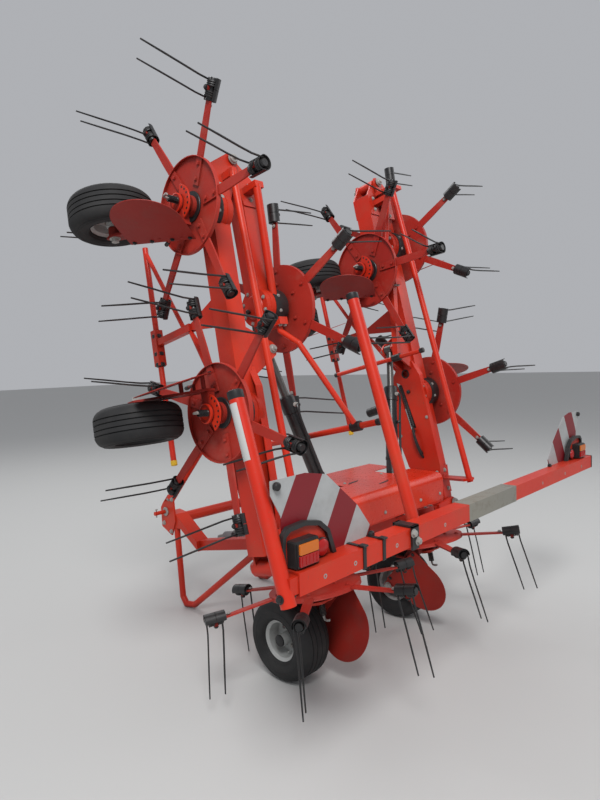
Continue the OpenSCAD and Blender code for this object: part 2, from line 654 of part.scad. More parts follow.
// End guard: a tube round the last rotor's tines, on an arm from its gearcase
module outer_guard(side) color(paint) outer_place(side) {
    x = rotor_x(4);
    if (side == "l") {
        bar([x + 745, -500, -72], [x + 745, 400, -72], 17);
        bent_bar([[x + 130, -100, 120], [x + 160, -100, 120], [x + 254, -200, 100], [x + 743, -340, -70]], 16);
    } else {
        bar([x + 638, -300, right_guard_h], [x + 638, 460, right_guard_h], 15);
        xz_plate(-90, 40, [[x + 130, 98], [x + 130, 140], [x + 652, right_guard_h + 14],
            [x + 630, right_guard_h - 13]]);
    }
}
right_guard_h = -5;

// Lift cylinder: its foot turns on the main frame, its rod reaches the wing's ears
function folded_eye() = [
    hinge_x + lift_eye_out * cos(wing_fold) - lift_eye_up * sin(wing_fold),
    hinge_h + lift_eye_out * sin(wing_fold) + lift_eye_up * cos(wing_fold)];
function lift_run() = folded_eye() - [lift_foot_x, lift_foot_h];
module at_lift(side) raked() on_side(side) translate([lift_foot_x, 0, lift_foot_h])
    rotate([0, 90 - atan2(lift_run()[1], lift_run()[0]), 0]) children();
barrel_len = 800;
eye_w = 50;
module lift_barrel(side) color(black) at_lift(side) difference() {
    union() {
        translate([0, eye_w / 2, 0]) rotate([90, 0, 0]) cylinder(r = 30, h = eye_w);
        cylinder(r = 24, h = 50);
        translate([0, 0, 46]) cylinder(r = barrel_r, h = barrel_len - 46);
    }
    translate([0, 50, 0]) rotate([90, 0, 0]) cylinder(r = 16 + running_fit, h = 100);
    translate([0, 0, 60]) cylinder(r = rod_r + running_fit, h = barrel_len);
}
module lift_rod(side) color("silver") at_lift(side) {
    reach = norm(lift_run());
    translate([0, 0, 62]) cylinder(r = rod_r, h = reach - 62 - 20);
    translate([0, eye_w / 2, reach]) rotate([90, 0, 0]) ring(32, 16, eye_w);
}

main_frame();
hood();
headstock();
parking_stand();
input_shaft();
light_bar();
warning_panels();
rear_lamps();
centre_legs();
for (side = SIDES) {
    for (i = [1 : 4]) {
        rotor(side, i);
        tines(side, i);
        tyre(side, i);
        rim(side, i);
    }
    wing_beam(side);
    wing_legs(side);
    front_guard(side);
    tie_rod(side);
    outer_beam(side);
    outer_leg(side);
    outer_guard(side);
    lift_barrel(side);
    lift_rod(side);
}
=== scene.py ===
import math
import bpy
import bmesh
from mathutils import Matrix, Vector


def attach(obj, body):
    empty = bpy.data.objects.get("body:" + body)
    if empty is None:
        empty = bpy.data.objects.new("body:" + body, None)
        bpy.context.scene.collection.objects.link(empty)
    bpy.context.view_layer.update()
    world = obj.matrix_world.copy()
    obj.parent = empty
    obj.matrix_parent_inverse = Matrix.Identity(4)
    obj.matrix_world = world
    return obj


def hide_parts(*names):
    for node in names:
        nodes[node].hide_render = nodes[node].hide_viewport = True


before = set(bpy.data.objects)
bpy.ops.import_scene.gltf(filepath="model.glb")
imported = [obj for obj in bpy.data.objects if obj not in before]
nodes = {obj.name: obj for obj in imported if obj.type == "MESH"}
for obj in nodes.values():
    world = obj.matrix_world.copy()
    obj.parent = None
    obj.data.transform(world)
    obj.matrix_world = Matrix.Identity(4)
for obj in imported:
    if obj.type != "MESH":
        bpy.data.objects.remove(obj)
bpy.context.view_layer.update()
SET_BACK = 0.449        # metres that the rotors' line stands behind the origin

# Camera of the photograph: portrait, 26 mm equivalent, a little left of and behind the machine
SENSOR = 36.0
FOCAL_PIXELS, PHOTO_HEIGHT = 586.8, 800
CAM_PLACE = (-2.803, -2.108 - SET_BACK, 1.762)
CAM_RIGHT = (0.6910, -0.7221, -0.0319)
CAM_FORWARD = (0.7197, 0.6915, -0.0622)
cam_data = bpy.data.cameras.new("photo_camera")
cam = bpy.data.objects.new("photo_camera", cam_data)
bpy.context.scene.collection.objects.link(cam)
bpy.context.scene.camera = cam
cam_data.sensor_width = SENSOR
cam_data.lens = FOCAL_PIXELS / PHOTO_HEIGHT * SENSOR
cam_data.clip_end = 200
forward = Vector(CAM_FORWARD).normalized()
right = Vector(CAM_RIGHT)
right = (right - right.dot(forward) * forward).normalized()
up = right.cross(forward)
cam.matrix_world = Matrix(
    [(right[k], up[k], -forward[k], CAM_PLACE[k]) for k in range(3)] + [(0, 0, 0, 1)])


class Nodes:
    """A material, with short ways to write its node tree."""

    def __init__(self, name):
        self.mat = bpy.data.materials.new(name)
        self.mat.use_nodes = True
        self.tree = self.mat.node_tree
        self.bsdf = self.tree.nodes["Principled BSDF"]
        self.coord = self.add("ShaderNodeTexCoord").outputs["Object"]

    def add(self, kind, values=None):
        """Adds a node and sets its inputs or its properties by name."""
        n = self.tree.nodes.new(kind)
        for key, v in (values or {}).items():
            if key in n.inputs:
                n.inputs[key].default_value = v
            else:
                setattr(n, key, v)
        return n

    def feed(self, socket, v):
        """Links an output to a socket, or sets a plain number or colour on it."""
        if isinstance(v, bpy.types.NodeSocket):
            self.tree.links.new(v, socket)
        elif socket.type == "RGBA":
            socket.default_value = (*v, 1)
        else:
            socket.default_value = v

    def noise(self, scale, detail=4.0, rough=0.55):
        n = self.add("ShaderNodeTexNoise", {"Scale": scale, "Detail": detail, "Roughness": rough})
        self.feed(n.inputs["Vector"], self.coord)
        return n.outputs["Fac"]

    def ramp(self, fac, stops):
        """Grey levels between stops of (position, level)."""
        n = self.add("ShaderNodeValToRGB")
        while len(n.color_ramp.elements) < len(stops):
            n.color_ramp.elements.new(0.5)
        for e, (place, level) in zip(n.color_ramp.elements, stops):
            e.position = place
            e.color = (level, level, level, 1)
        self.feed(n.inputs["Fac"], fac)
        return n.outputs["Color"]

    def mask(self, fac, low, high):
        """0 below low and 1 above high."""
        return self.ramp(fac, [(low, 0), (high, 1)])

    def mix(self, fac, a, b):
        n = self.add("ShaderNodeMix", {"data_type": "RGBA"})
        for k, v in ((0, fac), (6, a), (7, b)):     # sockets of the colour mix
            self.feed(n.inputs[k], v)
        return n.outputs[2]

    def math(self, operation, *values):
        n = self.add("ShaderNodeMath", {"operation": operation})
        for socket, v in zip(n.inputs, values):
            self.feed(socket, v)
        return n.outputs[0]

    def times(self, a, b):
        return self.math("MULTIPLY", a, b)

    def bump(self, height, strength, distance):
        n = self.add("ShaderNodeBump", {"Strength": strength, "Distance": distance})
        self.feed(n.inputs["Height"], height)
        self.feed(self.bsdf.inputs["Normal"], n.outputs["Normal"])

    def set(self, **values):
        for key, v in values.items():
            self.feed(self.bsdf.inputs[key.replace("_", " ")], v)
        return self.mat


# Colours of wear and dirt, and of the shade painted into corners
CHIPPED = (0.16, 0.07, 0.04)
SPECK = (0.22, 0.16, 0.12)
# painted shade: the dark red-brown that corners and hollows are darkened toward
CORNER_PAINTED_SHADE = (0.085, 0.012, 0.008)
RUST = (0.10, 0.045, 0.022)
GREY_DUST = (0.10, 0.096, 0.09)

# Scales of the noises, the larger the finer
PATCHES, GRIME, GRAIN, FLAKES, SPOTS = 1.6, 5.5, 38, 60, 90
METAL_DUST, METAL_STAINS, METAL_GRAIN = 3.0, 14, 120
RUBBER_DUST, RUBBER_GRAIN = 7, 160
PANEL_DIRT = 9

# reach and strength of the shade painted into corners
CORNER_REACH = 0.13     # metres over which the ambient occlusion finds corners
CORNER_SHARE = 0.6
GRAIN_IN_ROUGHNESS = 0.22


def paint(name, colour, faded, rough=0.38, dust=0.35, dust_colour=(0.30, 0.075, 0.04),
          specks=0.3, wear=1.0):
    """Paint that is faded in patches, chipped on edges and dusty, with shade painted into its
    corners.
    """
    m = Nodes(name)
    tone = m.mix(m.mask(m.noise(PATCHES, 5), 0.35, 0.68), colour, faded)
    edge = m.mask(m.add("ShaderNodeNewGeometry").outputs["Pointiness"], 0.51, 0.58)
    chips = m.mask(m.noise(FLAKES, 10, 0.75), 0.62, 0.66)
    tone = m.mix(m.times(m.times(edge, chips), wear), tone, CHIPPED)
    grime = m.mask(m.noise(GRIME, 8, 0.7), 0.5, 0.75)
    tone = m.mix(m.times(grime, dust), tone, dust_colour)
    spots = m.mask(m.noise(SPOTS, 3, 0.6), 0.68, 0.72)
    tone = m.mix(m.times(spots, specks), tone, SPECK)
    # painted shade: where ambient occlusion finds corners and hollows, the colour is darkened
    # toward a dark red-brown
    occlusion = m.add("ShaderNodeAmbientOcclusion", {"samples": 4, "Distance": CORNER_REACH})
    shade_in_corners = m.ramp(occlusion.outputs["AO"], [(0.2, 1), (0.85, 0)])
    tone = m.mix(m.times(shade_in_corners, CORNER_SHARE), tone, CORNER_PAINTED_SHADE)
    grain = m.noise(GRAIN, 8, 0.7)
    m.bump(grain, 0.06, 0.001)
    uneven = m.math("ADD", m.times(grain, GRAIN_IN_ROUGHNESS), rough - 0.08)
    return m.set(Base_Color=tone, Roughness=uneven, Specular_IOR_Level=0.38)


def dark_metal(name, colour, rough=0.5, rust=0.25):
    """Bare or thinly coated metal with stains of rust and a film of grey dust."""
    m = Nodes(name)
    stain = m.mask(m.noise(METAL_STAINS, 8, 0.7), 0.52, 0.7)
    tone = m.mix(m.times(stain, rust), colour, RUST)
    dust = m.mask(m.noise(METAL_DUST, 6, 0.6), 0.45, 0.8)
    tone = m.mix(m.times(dust, 0.2), tone, GREY_DUST)
    m.bump(m.noise(METAL_GRAIN, 4, 0.6), 0.12, 0.0008)
    return m.set(Base_Color=tone, Roughness=m.math("ADD", m.times(stain, 0.25), rough))


def rubber():
    m = Nodes("tyre_rubber")
    dust = m.mask(m.noise(RUBBER_DUST, 8, 0.65), 0.42, 0.75)
    tone = m.mix(m.times(dust, 0.35), (0.012, 0.012, 0.013), (0.055, 0.052, 0.048))
    m.bump(m.noise(RUBBER_GRAIN, 3), 0.15, 0.0008)
    return m.set(Base_Color=tone, Roughness=0.78)


def stripes():
    """Slanting red and white bands of the warning panels, mirrored about the middle."""
    slope, start, period = 0.594, 1.728, 0.2875
    m = Nodes("panel_stripes")
    axes = m.add("ShaderNodeSeparateXYZ")
    m.feed(axes.inputs[0], m.coord)
    along = m.math("ADD", m.math("ABSOLUTE", axes.outputs["X"]), m.times(axes.outputs["Z"], slope))
    repeat = m.math("FRACT", m.times(m.math("SUBTRACT", along, start), 1 / period))
    is_white = m.ramp(repeat, [(0.0, 0), (0.512, 0), (0.518, 1), (0.998, 1)])
    dirt = m.mask(m.noise(PANEL_DIRT, 9, 0.7), 0.4, 0.75)
    white = m.mix(m.times(dirt, 0.5), (0.40, 0.41, 0.41), (0.24, 0.24, 0.235))
    red = m.mix(m.times(dirt, 0.3), (0.20, 0.007, 0.013), (0.15, 0.012, 0.013))
    return m.set(Base_Color=m.mix(is_white, red, white), Roughness=0.45)


RED = paint("red_paint", (0.53, 0.016, 0.004), (0.62, 0.034, 0.010))
# painted shade: a darker copy of the red paint, with darker dust, for the wheels' leg plates and
# the blocks under the tine caps
RED_IN_PAINTED_SHADE = paint("red_paint_shaded", (0.25, 0.009, 0.005), (0.34, 0.019, 0.010),
             rough=0.5, dust=0.6, dust_colour=(0.17, 0.04, 0.03))
# dust, and painted shade: a darker, dustier red for the rotors and the bolts and rolled edge of
# their dishes
DUSTY_RED_IN_PAINTED_SHADE = paint("red_paint_dusty_and_shaded", (0.34, 0.012, 0.006), (0.44, 0.032, 0.019),
              rough=0.5, dust=0.55, dust_colour=(0.34, 0.10, 0.075))
GLOSS = paint("red_paint_hood", (0.56, 0.020, 0.005), (0.64, 0.045, 0.016),
              rough=0.26, dust=0.15, specks=0.05, wear=0.1)
YELLOW = paint("cap_yellow", (0.80, 0.50, 0.02), (0.72, 0.46, 0.05))
BLACK = dark_metal("black_steel", (0.012, 0.012, 0.013))
CYLINDER = dark_metal("cylinder_black", (0.012, 0.012, 0.013), rough=0.32, rust=0.1)
GREY = dark_metal("grey_tube", (0.20, 0.20, 0.205), rough=0.45, rust=0.3)
RIM = dark_metal("rim_silver", (0.42, 0.43, 0.42), rough=0.42, rust=0.35)
STEEL = dark_metal("zinc_bolt", (0.34, 0.33, 0.31), rough=0.38, rust=0.55)
PLASTIC = dark_metal("black_plastic", (0.011, 0.011, 0.012), rough=0.40, rust=0.05)
REFLECTING = dark_metal("strip_white", (0.50, 0.50, 0.49), rough=0.5, rust=0.15)
SLEEVE = dark_metal("sleeve_grey", (0.235, 0.225, 0.19), rough=0.5, rust=0.3)
TYRE = rubber()
STRIPE = stripes()
LENS = Nodes("lens_red").set(Base_Color=(0.36, 0.006, 0.006), Roughness=0.25)
AMBER = Nodes("lens_amber").set(Base_Color=(0.58, 0.14, 0.01), Roughness=0.22)
CHROME = Nodes("rod_chrome").set(Base_Color=(0.13, 0.125, 0.12), Metallic=0.85, Roughness=0.42)

# What the CAD nodes wear, by the start of their names; a later line overrides an earlier one
LOOKS = (
    ("", RED), ("tines_", BLACK), ("tyre_", TYRE), ("rim_", RIM), ("lift_barrel", CYLINDER),
    ("lift_rod", CHROME), ("input_shaft", GREY), ("warning_panels", STRIPE), ("rear_lamps", LENS),
    # the legs wear the darker red of painted shade; the rotors wear a dusty red, darkened as
    # painted shade too
    ("centre_legs", RED_IN_PAINTED_SHADE), ("wing_legs", RED_IN_PAINTED_SHADE), ("outer_leg", RED_IN_PAINTED_SHADE), ("rotor_", DUSTY_RED_IN_PAINTED_SHADE),
    ("hood", GLOSS))
for start_of_name, look in LOOKS:
    for name, node in nodes.items():
        if name.startswith(start_of_name):
            node.data.materials.clear()
            node.data.materials.append(look)

# Places of the folded machine, in millimetres and degrees, the same as in the part's source
PITCH, DISH_HEIGHT, RAKE = 1087.5, 585.0, 12
HINGE_X, HINGE_H, WING_FOLD = 830.0, 158.0, 92
OUTER_HINGE, OUTER_FOLD = {"l": (3003.75, 240.0), "r": (3160.75, 195.0)}, 178
WHEEL_FWD = 270.0
RIGHT_GUARD_H = -5.0
BEAM_H = 130.0          # middle of the wings' and outer sections' beams
GEARCASE_TOP = 185
LIFT_FOOT = (280.0, 0.0, 250.0)
LIFT_EYE_X, LIFT_EYE_H = 1130, 210      # from the wing's hinge, with the wing lowered

# Hexagon heads: size across the flats, and height
BOLT_8, BOLT_9, BOLT_10, BOLT_12 = (13, 7), (15, 8), (17, 9), (19, 10)
WHEEL_BOLT, STAND_NUT, CLAMP_BOLT, AXLE_NUT = (19, 12), (22, 12), (24, 14), (36, 20)
WASHER, WASHER_R = 2.2, 0.78    # thickness, and radius as a share of the flats
CHAMFER = 1.2
FLATS_TO_CORNER = 1.732


def move(x, y, z):
    return Matrix.Translation((x, y, z))


def spin(deg, axis):
    return Matrix.Rotation(math.radians(deg), 4, axis)


def mirror(sx):
    return Matrix.Diagonal((sx, 1, 1, 1))


def outward(x, y, z, out):
    """Frame whose z axis points along +y, or along -y where out is -1."""
    return move(x, y, z) @ spin(-90 * out, "X")


def sideways(x, y, z, side=1):
    """Frame whose z axis points along +x, or along -x where side is -1."""
    return move(x, y, z) @ spin(90 * side, "Y")


def backward(x, y, z):
    return outward(x, y, z, -1)


LEVEL = move(0, -SET_BACK, 0) @ Matrix.Scale(0.001, 4)
RAKED = LEVEL @ move(0, 0, DISH_HEIGHT) @ spin(-RAKE, "X")
HALF = {"l": RAKED @ mirror(-1), "r": RAKED @ mirror(1)}
WING, OUTER = {}, {}
for s in "lr":
    hx, hh = OUTER_HINGE[s]
    WING[s] = (HALF[s] @ move(HINGE_X, 0, HINGE_H) @ spin(-WING_FOLD, "Y")
               @ move(-HINGE_X, 0, -HINGE_H))
    OUTER[s] = WING[s] @ move(hx, 0, hh) @ spin(-OUTER_FOLD, "Y") @ move(-hx, 0, -hh)


def rotor_x(i):
    return PITCH * (i - 0.5)


def rotor_frame(s, i):
    base = {1: HALF, 4: OUTER}.get(i, WING)
    return base[s] @ move(rotor_x(i), 0, 0)


def odd_sign(i):
    """Rotors 1 and 3 are built the other way round from 2 and 4."""
    return 1 if i % 2 == 1 else -1


def phase(s, i):
    """Angle of a rotor's first arm; neighbours mesh half a step apart."""
    return {"l": 15, "r": 45}[s] + 9 * odd_sign(i)


def tyre_size(i):
    """Radius and width."""
    return (228.5, 213.0) if i == 1 else (215.0, 180.0)


def axle_drop(i):
    """How far the axle lies below the dish; wheels 2 to 4 stop 6 mm above the floor."""
    lift = 0 if i == 1 else 6
    rake = math.radians(RAKE)
    return (DISH_HEIGHT - WHEEL_FWD * math.sin(rake) - tyre_size(i)[0] - lift) / math.cos(rake)


def unit_circle(n):
    return [(math.cos(2 * math.pi * j / n), math.sin(2 * math.pi * j / n)) for j in range(n)]


def bead(r, z, a, b, n):
    """Section of a round edge: n points on an ellipse a by b about (r, z)."""
    return [(r + a * c, z + b * d) for c, d in unit_circle(n)]


def band(arc, outer, inner):
    """Closed outline between two radii over the angles of arc, as (angle, radius) pairs."""
    return [(a, outer) for a in arc] + [(a, inner) for a in reversed(arc)]


class Shape:
    """One piece in the making, joined from tubes, turned rings, prisms and bolts.

    Its points are millimetres in the piece's own frame, or in the one that at() names.
    """

    def __init__(self, base):
        self.bm = bmesh.new()
        self.mats = []
        self.base = base
        self.m = base

    def at(self, local=None):
        self.m = self.base @ local if local is not None else self.base

    def use(self, mat):
        if mat not in self.mats:
            self.mats.append(mat)
        self.index = self.mats.index(mat)

    def face(self, verts):
        f = self.bm.faces.new(verts)
        f.material_index = self.index
        f.smooth = True

    def rings(self, rings, loop=False):
        """Skins rings of points one after another; the ends are closed, or meet in a loop."""
        rows = [[self.bm.verts.new(self.m @ Vector(p)) for p in ring] for ring in rings]
        n = len(rows[0])
        for a, b in list(zip(rows, rows[1:])) + ([(rows[-1], rows[0])] if loop else []):
            for k in range(n):
                self.face((a[k], a[(k + 1) % n], b[(k + 1) % n], b[k]))
        if not loop:
            self.face(rows[0])
            self.face(rows[-1])

    def tube(self, pts, r, n=8):
        """Sweeps a circle along points; r is one radius, or a list with one for each."""
        pts = [Vector(p) for p in pts]
        radii = r if isinstance(r, list) else [r] * len(pts)
        circles, u = [], None
        for k, p in enumerate(pts):
            t = (pts[min(k + 1, len(pts) - 1)] - pts[max(k - 1, 0)]).normalized()
            u = t.orthogonal().normalized() if u is None else (u - t * u.dot(t)).normalized()
            v = t.cross(u)
            circles.append([p + (u * c + v * d) * radii[k] for c, d in unit_circle(n)])
        self.rings(circles)

    def lathe(self, profile, n=32, loop=False, place=None):
        """Turns (radius, z) pairs about the z axis of place."""
        old = self.m
        self.m = old @ place if place is not None else old
        self.rings([[(r * c, r * d, z) for c, d in unit_circle(n)] for r, z in profile], loop)
        self.m = old

    def prism(self, outline, z0, z1, bevel=0.0):
        """Extrudes an xy outline along z, with its edges turned in by bevel."""
        cx = sum(p[0] for p in outline) / len(outline)
        cy = sum(p[1] for p in outline) / len(outline)

        def inset(d):
            res = []
            for x, y in outline:
                k = math.hypot(x - cx, y - cy) or 1
                res.append((x - (x - cx) / k * d, y - (y - cy) / k * d))
            return res

        rows = [(z0, 0), (z1, 0)]
        if bevel:
            rows = [(z0, bevel), (z0 + bevel, 0), (z1 - bevel, 0), (z1, bevel)]
        self.rings([[(x, y, z) for x, y in inset(d)] for z, d in rows])

    def box(self, lo, hi, bevel):
        (x0, y0, z0), (x1, y1, z1) = lo, hi
        self.prism([(x0, y0), (x1, y0), (x1, y1), (x0, y1)], z0, z1, bevel)

    def bolt(self, place, size):
        """Washer and chamfered hexagon head that stand on the xy plane of place."""
        across, height = size
        rim, r = across * WASHER_R, across / FLATS_TO_CORNER
        self.lathe([(rim, 0), (rim, WASHER), (across * 0.5, WASHER)], 20, place=place)
        self.lathe([(r, 2), (r, height - CHAMFER), (r * 0.88, height)], 6, place=place)

    def done(self, name, body, replaced=None, sharp=30):
        bmesh.ops.recalc_face_normals(self.bm, faces=self.bm.faces)
        me = bpy.data.meshes.new(name)
        self.bm.to_mesh(me)
        self.bm.free()
        for m in self.mats:
            me.materials.append(m)
        me.set_sharp_from_angle(angle=math.radians(sharp))
        o = bpy.data.objects.new(name, me)
        bpy.context.scene.collection.objects.link(o)
        if replaced:
            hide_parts(replaced)
        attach(o, body)


# Rotors: arms every 60 degrees on a dish that slopes down to its edge
ARMS, ARM_STEP = 6, 60
DISH_SLOPE = 4.5
SLOPE = math.tan(math.radians(DISH_SLOPE))
CAP_Z = -9 - 450 * SLOPE        # height of the tines' coils
COIL_R, WIRE_R = 26.0, 4.75
COIL_TURNS, COIL_STEPS = 3.5, 14
TINE_BENDS = ((1, 26, -14), (4, 25, -70), (14, 29, -150), (28, 38, -262), (42, 46.5, -380))


def coil(x0, step, lead):
    """Windings about a radial axis, from the tine's side inward."""
    res = []
    for k in range(int(COIL_TURNS * COIL_STEPS) + 1):
        a = 2 * math.pi * k / COIL_STEPS
        res.append((x0 + step * k / COIL_STEPS, lead * COIL_R * math.cos(a),
                    CAP_Z + COIL_R * math.sin(a)))
    return res


def spring_tines(s, i):
    """Black half-round caps over two coils on each arm, with a long tine from each coil."""
    sh = Shape(rotor_frame(s, i))
    lead = odd_sign(i)
    arc = [math.radians(a) for a in range(-14, 195, 16)]
    for k in range(ARMS):
        sh.at(spin(phase(s, i) + ARM_STEP * k, "Z"))
        sh.use(BLACK)
        for x0, step in ((517, 9.9), (597, -9.9)):
            path = coil(x0, step, lead)[::-1]
            path += [(x0 + dx, lead * y, CAP_Z + dz) for dx, y, dz in TINE_BENDS]
            sh.tube(path, [WIRE_R] * (len(path) - 1) + [WIRE_R * 0.8], 6)
        sh.use(PLASTIC)
        for x0, x1 in ((505.5, 556), (558, 609)):
            ends = ((x0, 33.5), (x0 + 2, 32.5), (x1 - 2, 32.5), (x1, 33.5))
            sh.rings([[(x, q * math.cos(a), CAP_Z + q * math.sin(a))
                       for a, q in band(arc, 36, inner)] for x, inner in ends])
        sh.lathe([(17, 0), (19, 3), (19, 100), (17, 103.5)], 14,
                 place=sideways(505.5, 0, CAP_Z))
        # the block under the caps wears the darker red of painted shade
        sh.use(RED_IN_PAINTED_SHADE)
        sh.box((548, -9, CAP_Z - 34), (566, 9, CAP_Z - 14), 1.5)
        sh.use(BLACK)
        sh.bolt(move(557, 0, CAP_Z - 34) @ spin(180, "X"), BOLT_10)
    sh.done("spring_tines_%d%s" % (i, s), "rotor_%d%s" % (i, s),
            "tines_%d%s" % (i, s), 50)


def dish_top(r):
    """Height of the dish's upper face, which starts to slope at radius 55."""
    return -(r - 55) * SLOPE


def dish_fittings(s, i):
    """Bolts, rolled edge and dark bearing flange of the dish."""
    sh = Shape(rotor_frame(s, i))
    slope = spin(DISH_SLOPE, "Y")
    for k in range(ARMS):
        arm = spin(phase(s, i) + ARM_STEP * k, "Z")
        # the dish's bolts and rolled edge wear the dusty red that is darkened as painted shade
        sh.use(DUSTY_RED_IN_PAINTED_SHADE)
        for r in (140, 215):
            sh.bolt(arm @ move(r, 0, dish_top(r)) @ slope, BOLT_10)
            sh.bolt(arm @ move(r, 0, dish_top(r) - 14) @ slope @ spin(180, "X"), BOLT_10)
        sh.use(STEEL)
        sh.bolt(arm @ move(486, 0, -33.9) @ slope, BOLT_9)
    sh.use(DUSTY_RED_IN_PAINTED_SHADE)
    sh.lathe(bead(248, dish_top(250) - 20, 3.4, 3.4, 8), 72, True)
    sh.use(PLASTIC)
    sh.lathe([(54, -16), (76, -16), (79, -13), (79, -8.5), (54, -8)], 40, True)
    sh.lathe([(34, 24), (52, 24), (56, 20), (56, 10), (60, 6), (60, 1), (34, 1)], 40, True)
    sh.done("dish_fittings_%d%s" % (i, s), "rotor_%d%s" % (i, s))


def wheel_frame(s, i):
    """Frame on the wheel's axle, with z along it."""
    return rotor_frame(s, i) @ sideways(0, WHEEL_FWD, -axle_drop(i))


def tyre_casing(s, i):
    """Tyre with four grooves round its tread and two raised lines on each side."""
    r, w = tyre_size(i)
    half, rim = w / 2, (w - 50) / 2
    wall = [(101.05, -rim + 14.1), (113.3, -rim + 3.85), (115, -rim - 6), (121, -half + 12),
            (131, -half + 5.5), (146, -half + 1.5), (163, -half), (178, -half + 0.8),
            (r - 34, -half + 5), (r - 30, -half + 5), (r - 20, -half + 11), (r - 11, -half + 21),
            (r - 5, -half + 32)]
    groove, depth, flat = 3.2, 7, half - 46
    tread = [(r - 1.5, -flat - 4)]
    for g in (-flat * 0.86, -flat * 0.3, flat * 0.3, flat * 0.86):
        tread += [(r, g - groove), (r - 1, g - groove + 0.6), (r - depth, g - groove * 0.6),
                  (r - depth, g + groove * 0.6), (r - 1, g + groove - 0.6), (r, g + groove)]
    tread.append((r - 1.5, flat + 4))
    sh = Shape(wheel_frame(s, i))
    sh.use(TYRE)
    sh.lathe(wall + tread + [(q, -z) for q, z in reversed(wall)], 80, True)
    for side in (-1, 1):
        for line_r, sunk in ((126, 7.5), (168, 0.4)):
            sh.lathe(bead(line_r, -side * (half - sunk), 2.2, 1.6, 6), 80, True)
    sh.done("tyre_casing_%d%s" % (i, s), "wheel_%d%s" % (i, s),
            "tyre_%d%s" % (i, s), 40)


def wheel_fittings(s, i):
    """Wheel bolts on both sides, hub cap and valve."""
    sh = Shape(wheel_frame(s, i))
    sh.use(STEEL)
    for k in range(4):
        for z, turn in ((-6, 0), (-12, 180)):
            sh.bolt(spin(90 * k, "Z") @ move(56, 0, z) @ spin(turn, "X"), WHEEL_BOLT)
    hub, out = (tyre_size(i)[1] - 60) / 2, odd_sign(i)
    sh.use(PLASTIC)
    sh.lathe([(r, out * (hub + z)) for r, z in ((30, 0.2), (34, 3), (32, 9), (24, 14), (8, 16))],
             28)
    sh.use(RIM)
    sh.tube([(84, 0, out * 6), (82, 0, out * 22), (78, 0, out * 34)], [4, 3.4, 3.0], 8)
    sh.done("wheel_fittings_%d%s" % (i, s), "wheel_%d%s" % (i, s))


for s in "lr":
    for i in range(1, 5):
        spring_tines(s, i)
        dish_fittings(s, i)
        tyre_casing(s, i)
        wheel_fittings(s, i)


BREATHER = [(9, -4), (9, 6), (13, 8), (13, 18), (9, 21), (3, 21)]
GEARCASE_RIM = [(103, 145), (108, 147), (108, 153), (103, 155)]
GEARCASE_SKIRT = [(62, 14), (96, 14), (107, 24), (110.5, 52), (110.5, 112), (108, 118),
                  (105.1, 118), (105.1, 66), (78.1, 25.9), (62, 25.9)]


def gearcase_fittings(sh, x):
    """Bolts, breather and rim of a gearcase, and the black skirt between it and the dish."""
    sh.use(STEEL)
    for k in range(8):
        turn = spin(22.5 + 45 * k, "Z")
        sh.bolt(move(x, 0, GEARCASE_TOP) @ turn @ move(90, 0, 0), BOLT_9)
        sh.bolt(move(x, 0, 88) @ turn @ sideways(110, 0, 0), BOLT_8)
    sh.use(PLASTIC)
    sh.lathe(BREATHER, 18, place=move(x + 20, 25, GEARCASE_TOP + 18))
    sh.use(RED)
    sh.lathe(GEARCASE_RIM, 48, True, move(x, 0, 0))
    sh.use(PLASTIC)
    sh.lathe(GEARCASE_SKIRT, 48, True, move(x, 0, 0))


PLATE_LEAN = 14.04      # degrees that a wheel's plate leans out at its foot
EDGE_Y, EDGE_Z = 0.824, 0.566   # direction of the plate's straight edge
LEG_COLLAR = [(44, -112), (50, -110), (50, -100), (44, -98)]
CRANK = [(0, -26, -104), (0, -26, -186), (0, -30, -196), (0, -44, -200), (0, -62, -198)]


def leg_fittings(sh, i):
    """Plate bolts, axle nut, and the mechanism that sets the wheel's height."""
    side = -odd_sign(i)
    leg_x = side * (tyre_size(i)[1] / 2 + 24)
    rotor = move(rotor_x(i), 0, 0)
    plate = (rotor @ move(side * (abs(leg_x) + 96), 0, -12) @ spin(side * PLATE_LEAN, "Y")
             @ move(0, 0, 12))
    sh.use(BLACK)
    inset = 16
    for u in (-150, -55, 55, 150):
        y = 95 - EDGE_Y * u - EDGE_Z * inset
        z = -150 + EDGE_Z * u - EDGE_Y * inset
        sh.bolt(plate @ sideways(side * 1.5, y, z, side), BOLT_9)
    sh.use(STEEL)
    sh.bolt(rotor @ sideways(leg_x + side * 6, WHEEL_FWD, -axle_drop(i), side), AXLE_NUT)
    # collar, and a sector plate with a row of stops
    sh.use(RED)
    sh.at(rotor)
    sh.lathe(LEG_COLLAR, 40, True)
    arc = [math.radians(w) for w in range(200, 341, 10)]
    sh.prism([(q * math.cos(w), q * math.sin(w)) for w, q in band(arc, 96, 50)], -92, -84, 1)
    sh.use(PLASTIC)
    for w in range(212, 340, 19):
        stop = move(82 * math.cos(math.radians(w)), 82 * math.sin(math.radians(w)), -92.6)
        sh.lathe([(6, 0), (6, 9.2)], 16, place=stop)
    # coil spring, crank and grip
    sh.tube([(15 * math.cos(0.55 * k), 15 * math.sin(0.55 * k) - 26, -114 - 0.62 * k)
             for k in range(92)], 3, 6)
    sh.use(STEEL)
    sh.tube(CRANK, 6.5, 10)
    sh.use(PLASTIC)
    x, shift = leg_x + side * 44, side * 0.4
    sh.tube([(x - shift, 122, -94), (x, 132, -91.5), (x + shift, 160, -85),
             (x + shift, 166, -83.6)], [9.5, 11, 11, 7], 12)
    sh.at()


